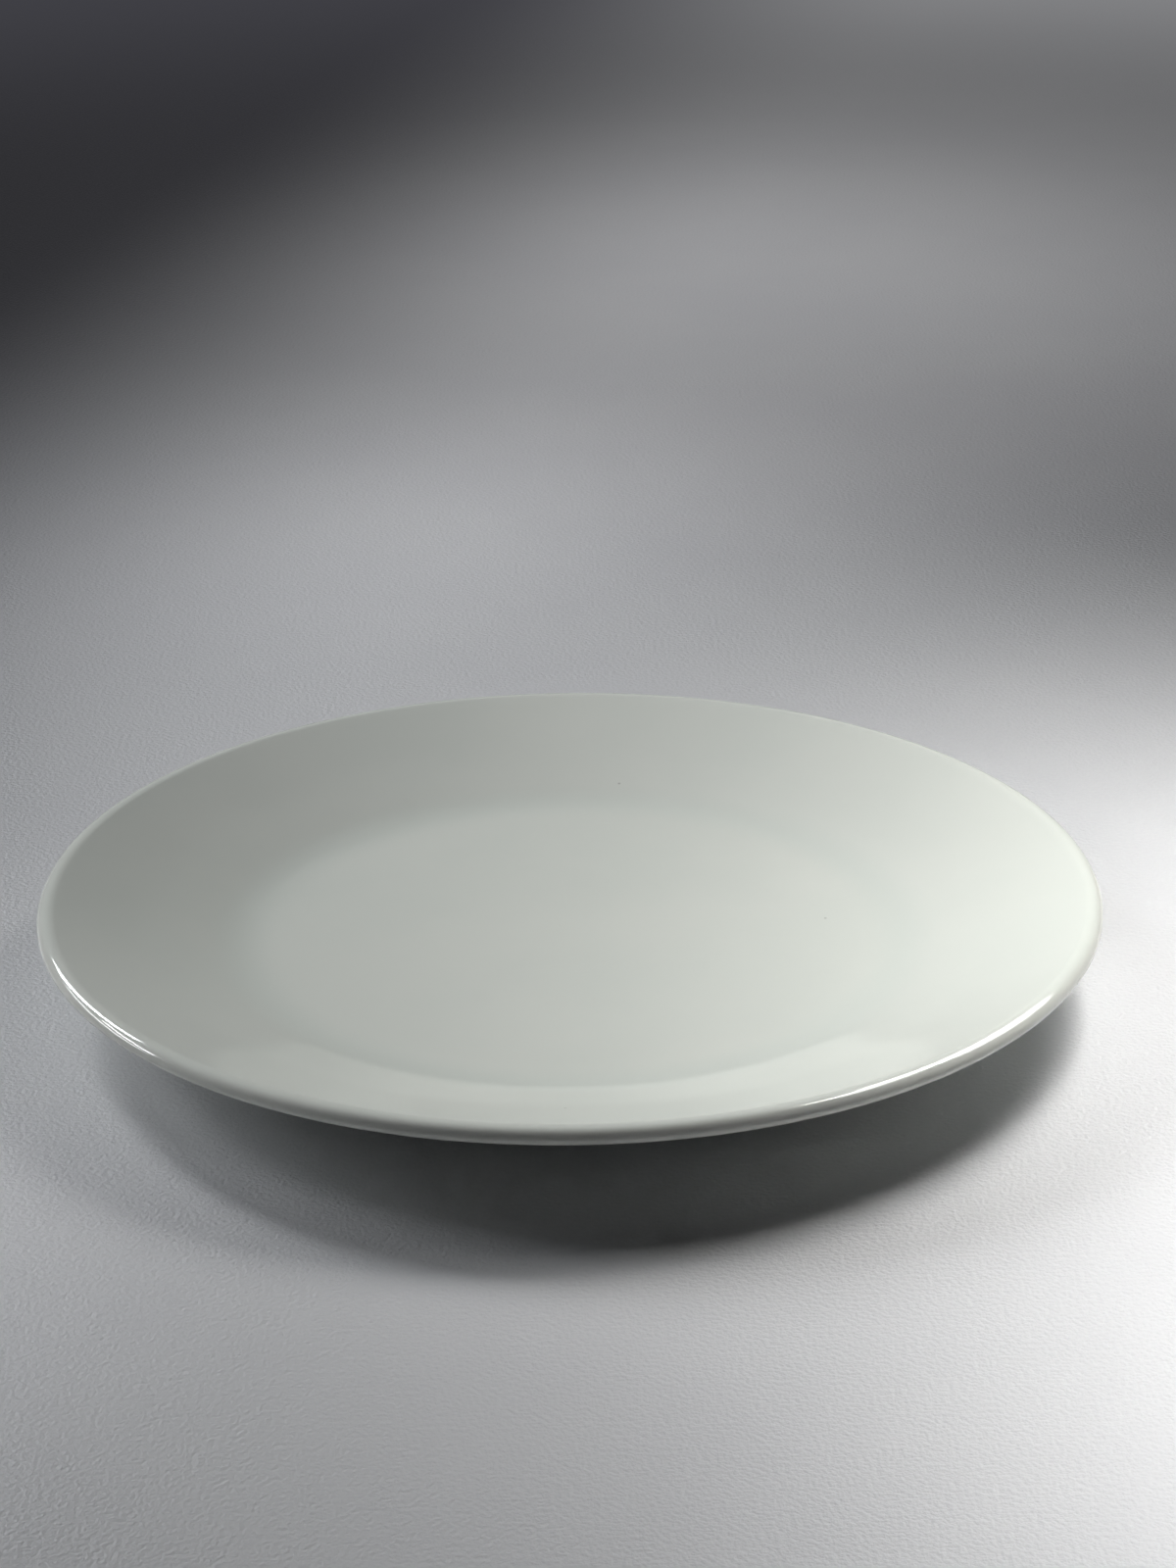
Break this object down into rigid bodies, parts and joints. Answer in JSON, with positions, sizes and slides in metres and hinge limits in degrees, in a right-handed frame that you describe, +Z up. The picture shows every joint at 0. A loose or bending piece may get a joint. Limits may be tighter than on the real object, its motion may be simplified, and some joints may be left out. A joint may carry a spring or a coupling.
{
  "type": "dinner plate",
  "caption": "Round white glazed porcelain plate with a flat well, a soft bend, a wide gently rising flange, a full-round edge and a bare foot ring, for serving food.",
  "frame": {"origin": "on the plate's axis, in the plane that the foot ring stands on", "axes": "+Z up along the plate's axis, from the foot towards the well; X and Y lie in the resting plane"},
  "size_m": [0.26, 0.26, 0.024],
  "materials": {
    "bare_porcelain": "fired unglazed porcelain, matt off-white",
    "white_glaze": "clear glossy glaze over white porcelain",
    "recess_glaze": "clear glossy glaze over white porcelain"
  },
  "bodies": {
    "root": {"porcelain_body": "bare_porcelain", "outer_glaze": "white_glaze", "foot_recess_glaze": "recess_glaze"}
  },
  "joints": []
}
